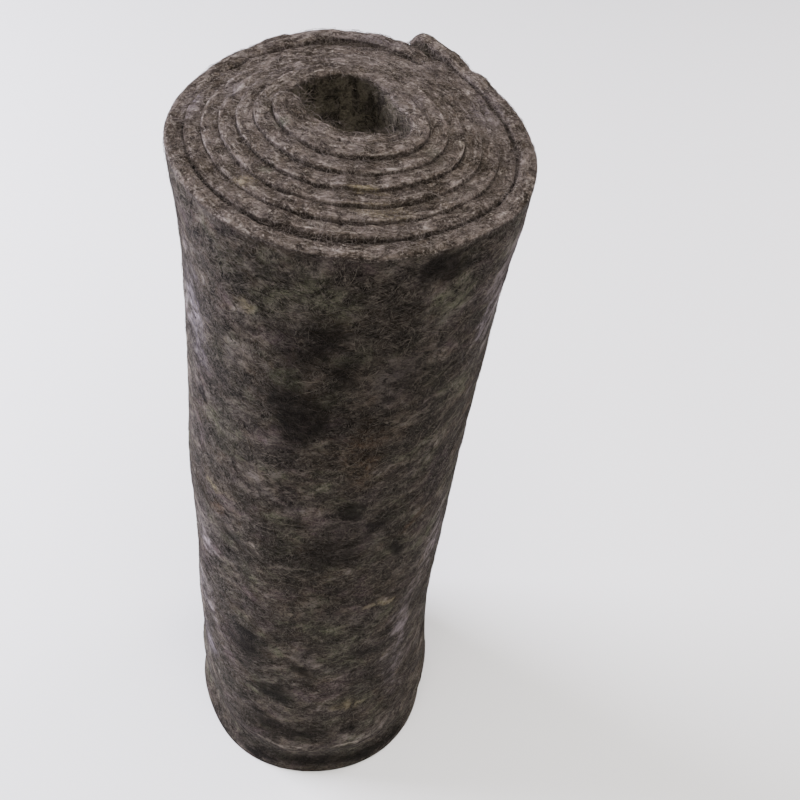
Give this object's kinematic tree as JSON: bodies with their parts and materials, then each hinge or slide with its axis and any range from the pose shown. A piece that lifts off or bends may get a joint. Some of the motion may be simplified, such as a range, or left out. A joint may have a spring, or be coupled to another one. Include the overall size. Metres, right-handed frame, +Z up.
{
  "type": "roll of felt",
  "caption": "Loosely wound roll of thick mottled wool felt standing on one end, with a hollow centre and a loose outer end lifting off at the back.",
  "frame": {"origin": "centre of the footprint's bounding box, on the ground", "axes": "+Z up along the roll, -Y to the front that the picture shows, +X to its right"},
  "size_m": [0.1678, 0.1664, 0.5128],
  "materials": {
    "felt": "matte, mottled grey-brown needled wool"
  },
  "bodies": {
    "root": {"felt_roll": "felt"}
  },
  "joints": []
}
